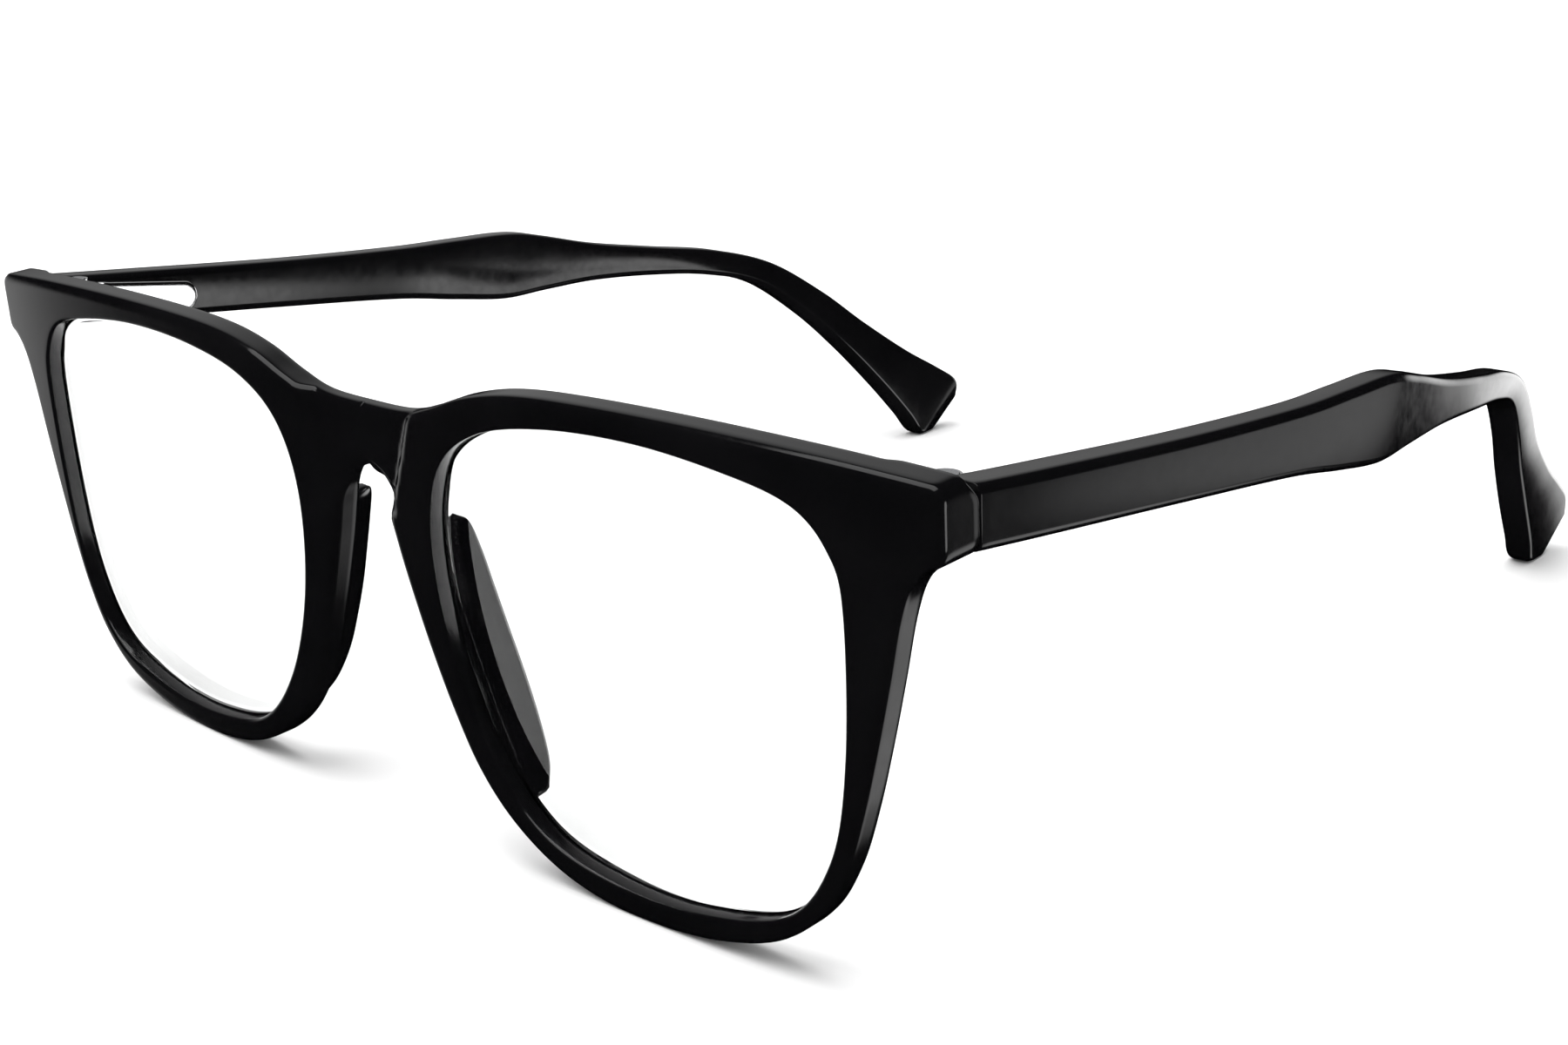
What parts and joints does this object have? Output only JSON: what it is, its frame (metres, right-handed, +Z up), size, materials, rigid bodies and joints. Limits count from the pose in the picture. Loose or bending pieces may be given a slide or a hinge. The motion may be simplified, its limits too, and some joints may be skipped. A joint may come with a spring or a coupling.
{
  "type": "eyeglasses",
  "caption": "Full-rim acetate eyeglasses with clear lenses, a keyhole bridge, fixed nose pads and temples that fold on sprung metal hinges.",
  "frame": {"origin": "middle of the bounding box's base, on the table that the open glasses stand on", "axes": "+Z up, +X towards the wearer's left, +Y backwards along the open temples, so the front faces -Y"},
  "size_m": [0.1316, 0.1556, 0.0473],
  "materials": {
    "acetate": "hand-polished black acetate",
    "lens": "clear, uncoated, polished",
    "hinge_metal": "polished nickel silver",
    "screw_steel": "machined steel",
    "spring_steel": "drawn wire"
  },
  "bodies": {
    "front": {"front_frame": "acetate", "lens_left": "lens", "lens_right": "lens", "nose_pad_left": "acetate", "nose_pad_right": "acetate", "front_hinge_left": "hinge_metal", "front_hinge_right": "hinge_metal", "hinge_screw_left": "screw_steel", "hinge_screw_right": "screw_steel"},
    "slider_left": {"spring_slider_left": "hinge_metal", "spring_stop_left": "screw_steel"},
    "slider_right": {"spring_slider_right": "hinge_metal", "spring_stop_right": "screw_steel"},
    "temple_arm_left": {"temple_left": "acetate", "spring_housing_left": "hinge_metal", "return_spring_left": "spring_steel", "core_wire_left": "spring_steel"},
    "temple_arm_right": {"temple_right": "acetate", "spring_housing_right": "hinge_metal", "return_spring_right": "spring_steel", "core_wire_right": "spring_steel"}
  },
  "joints": [
    {"name": "fold_left", "type": "hinge", "parent": "front", "child": "slider_left", "pos_m": [0.0612, -0.06817, 0.04283], "axis": [0, -0.0569, 0.9984], "range_deg": [0, 84]},
    {"name": "fold_right", "type": "hinge", "parent": "front", "child": "slider_right", "pos_m": [-0.0612, -0.06817, 0.04283], "axis": [0, 0.0569, -0.9984], "range_deg": [0, 78]},
    {"name": "spring_travel_left", "type": "slide", "parent": "slider_left", "child": "temple_arm_left", "axis": [0, 0.9894, -0.145], "range_m": [0, 0.0015], "stiffness_N_per_m": 1500, "springref_m": -0.002},
    {"name": "spring_travel_right", "type": "slide", "parent": "slider_right", "child": "temple_arm_right", "axis": [0, 0.9894, -0.145], "range_m": [0, 0.0015], "stiffness_N_per_m": 1500, "springref_m": -0.002}
  ]
}
